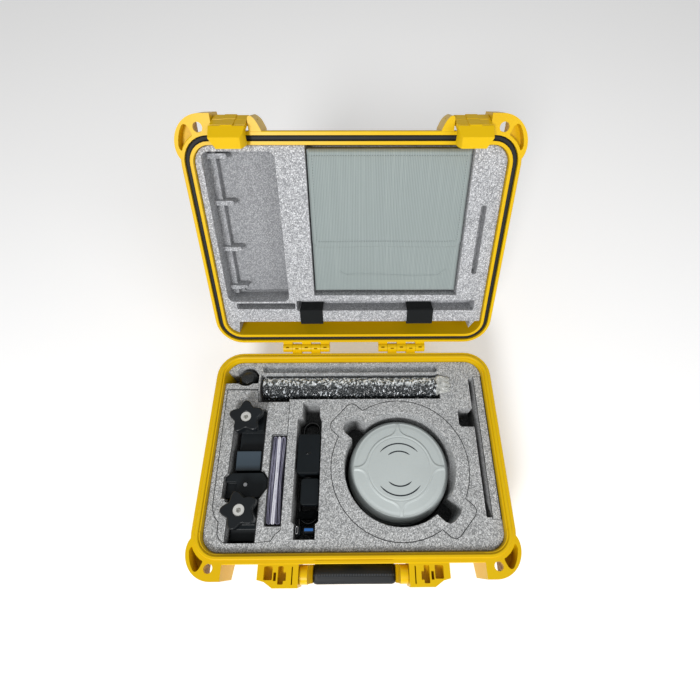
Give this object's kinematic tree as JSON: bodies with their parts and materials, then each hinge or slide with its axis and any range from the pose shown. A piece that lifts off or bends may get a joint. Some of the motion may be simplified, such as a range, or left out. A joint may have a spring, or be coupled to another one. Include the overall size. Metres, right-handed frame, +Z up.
{
  "type": "gnss receiver",
  "caption": "Round GNSS survey receiver stowed in the foam of a hinged, latched yellow carrying case with its pole clamp, pole, charger and pouch.",
  "frame": {"origin": "centre of the flat underside of the case", "axes": "+Z up, -Y towards the carrying handle at the front, +X to the right seen from the front"},
  "size_m": [0.3896, 0.4761, 0.3618],
  "materials": {
    "case_yellow": "satin",
    "case_foam": "rough",
    "lid_foam": "rough",
    "seal_rubber": "matte",
    "grip_rubber": "matte",
    "steel": "brushed",
    "black_plastic": "satin",
    "cable_jacket": "gloss",
    "webbing": "woven",
    "pouch_fabric": "ribbed",
    "receiver_white": "satin",
    "receiver_grey": "satin",
    "brass": "satin",
    "battery_wrap": "satin",
    "chassis_alloy": "matte",
    "circuit_board": "satin",
    "antenna_ceramic": "satin",
    "pole_tube": "matte",
    "bubble_film": "glossy",
    "paper": "matte"
  },
  "bodies": {
    "case_base": {"base_shell": "case_yellow", "base_foam": "case_foam", "receiver_foam_ring": "case_foam", "clamp_foam_insert": "case_foam", "side_foam_strip": "case_foam", "hinge_pin_left": "steel", "hinge_pin_right": "steel", "handle_pin_left": "steel", "handle_pin_right": "steel", "purge_valve": "black_plastic", "cable_hank": "cable_jacket", "usb_a_tail": "cable_jacket", "usb_c_tail": "cable_jacket", "usb_a_plug": "black_plastic", "usb_c_plug": "black_plastic"},
    "case_lid": {"lid_shell": "case_yellow", "lid_gasket": "seal_rubber", "lid_foam": "lid_foam", "strap_left": "webbing", "strap_right": "webbing", "latch_pin_left": "steel", "latch_pin_right": "steel"},
    "left_latch": {"latch_left": "case_yellow"},
    "right_latch": {"latch_right": "case_yellow"},
    "carry_handle": {"handle_frame": "case_yellow", "handle_grip": "grip_rubber"},
    "receiver": {"receiver_top_cover": "receiver_white", "receiver_bumper_ring": "receiver_grey", "receiver_lower_housing": "receiver_grey", "receiver_bottom_plate": "receiver_grey", "bottom_screw_1": "steel", "bottom_screw_2": "steel", "bottom_screw_3": "steel", "bottom_screw_4": "steel", "pole_thread_insert": "brass", "uhf_antenna_port": "brass", "battery_pack": "battery_wrap", "inner_chassis": "chassis_alloy", "main_board": "circuit_board", "board_shield": "steel", "antenna_ground_plane": "steel", "gnss_patch_antenna": "antenna_ceramic", "status_window": "black_plastic", "data_port_cover": "seal_rubber"},
    "power_key": {"power_button": "seal_rubber"},
    "pole_clamp": {"clamp_arm": "black_plastic", "clamp_block": "black_plastic", "clamp_tail": "black_plastic", "clamp_screw": "steel"},
    "upper_knob": {"knob_upper": "black_plastic", "knob_upper_screw": "steel"},
    "lower_knob": {"knob_lower": "black_plastic", "knob_lower_screw": "steel"},
    "pole": {"extension_pole": "pole_tube", "pole_wrap": "bubble_film"},
    "adapter": {"pole_adapter": "seal_rubber"},
    "charger": {"wall_charger": "black_plastic"},
    "hub": {"usb_hub_block": "black_plastic"},
    "papers": {"document_packet": "paper"},
    "pouch": {"accessory_pouch": "pouch_fabric"}
  },
  "joints": [
    {"name": "lid_hinge", "type": "hinge", "parent": "case_base", "child": "case_lid", "pos_m": [0, 0.1435, 0.106], "axis": [-1, 0, 0], "range_deg": [-120, 0]},
    {"name": "latch_left_swing", "type": "hinge", "parent": "case_lid", "child": "left_latch", "pos_m": [-0.1316, 0.29937, 0.34798], "axis": [-1, 0, 0], "range_deg": [0, 20]},
    {"name": "latch_right_swing", "type": "hinge", "parent": "case_lid", "child": "right_latch", "pos_m": [0.1316, 0.29937, 0.34798], "axis": [-1, 0, 0], "range_deg": [0, 20]},
    {"name": "handle_swing", "type": "hinge", "parent": "case_base", "child": "carry_handle", "pos_m": [0, -0.146, 0.09], "axis": [-1, 0, 0], "range_deg": [0, 95]},
    {"name": "receiver_lift", "type": "slide", "parent": "case_base", "child": "receiver", "axis": [0, 0, 1], "range_m": [0, 0.12]},
    {"name": "power_press", "type": "slide", "parent": "receiver", "child": "power_key", "axis": [0, 1, 0], "range_m": [0, 0.0008], "stiffness_N_per_m": 1500},
    {"name": "clamp_lift", "type": "slide", "parent": "case_base", "child": "pole_clamp", "axis": [0, 0, 1], "range_m": [0, 0.08]},
    {"name": "upper_knob_turn", "type": "hinge", "parent": "pole_clamp", "child": "upper_knob", "pos_m": [-0.1415, 0.0375, 0.104], "axis": [0, 0, 1], "continuous": true},
    {"name": "lower_knob_turn", "type": "hinge", "parent": "pole_clamp", "child": "lower_knob", "pos_m": [-0.1365, -0.0775, 0.104], "axis": [0, 0, 1], "continuous": true},
    {"name": "pole_lift", "type": "slide", "parent": "case_base", "child": "pole", "axis": [0, 0, 1], "range_m": [0, 0.06]},
    {"name": "adapter_lift", "type": "slide", "parent": "case_base", "child": "adapter", "axis": [0, 0, 1], "range_m": [0, 0.05]},
    {"name": "charger_lift", "type": "slide", "parent": "case_base", "child": "charger", "axis": [0, 0, 1], "range_m": [0, 0.06]},
    {"name": "hub_lift", "type": "slide", "parent": "case_base", "child": "hub", "axis": [0, 0, 1], "range_m": [0, 0.06]},
    {"name": "papers_lift", "type": "slide", "parent": "case_base", "child": "papers", "axis": [0, 0, 1], "range_m": [0, 0.05]},
    {"name": "pouch_slide", "type": "slide", "parent": "case_lid", "child": "pouch", "axis": [0, -0.866, 0.5], "range_m": [0, 0.045]}
  ],
  "couplings": [
    {"joint": "latch_left_swing", "follows": "lid_hinge", "ratio": -0.16667},
    {"joint": "latch_right_swing", "follows": "lid_hinge", "ratio": -0.16667}
  ]
}
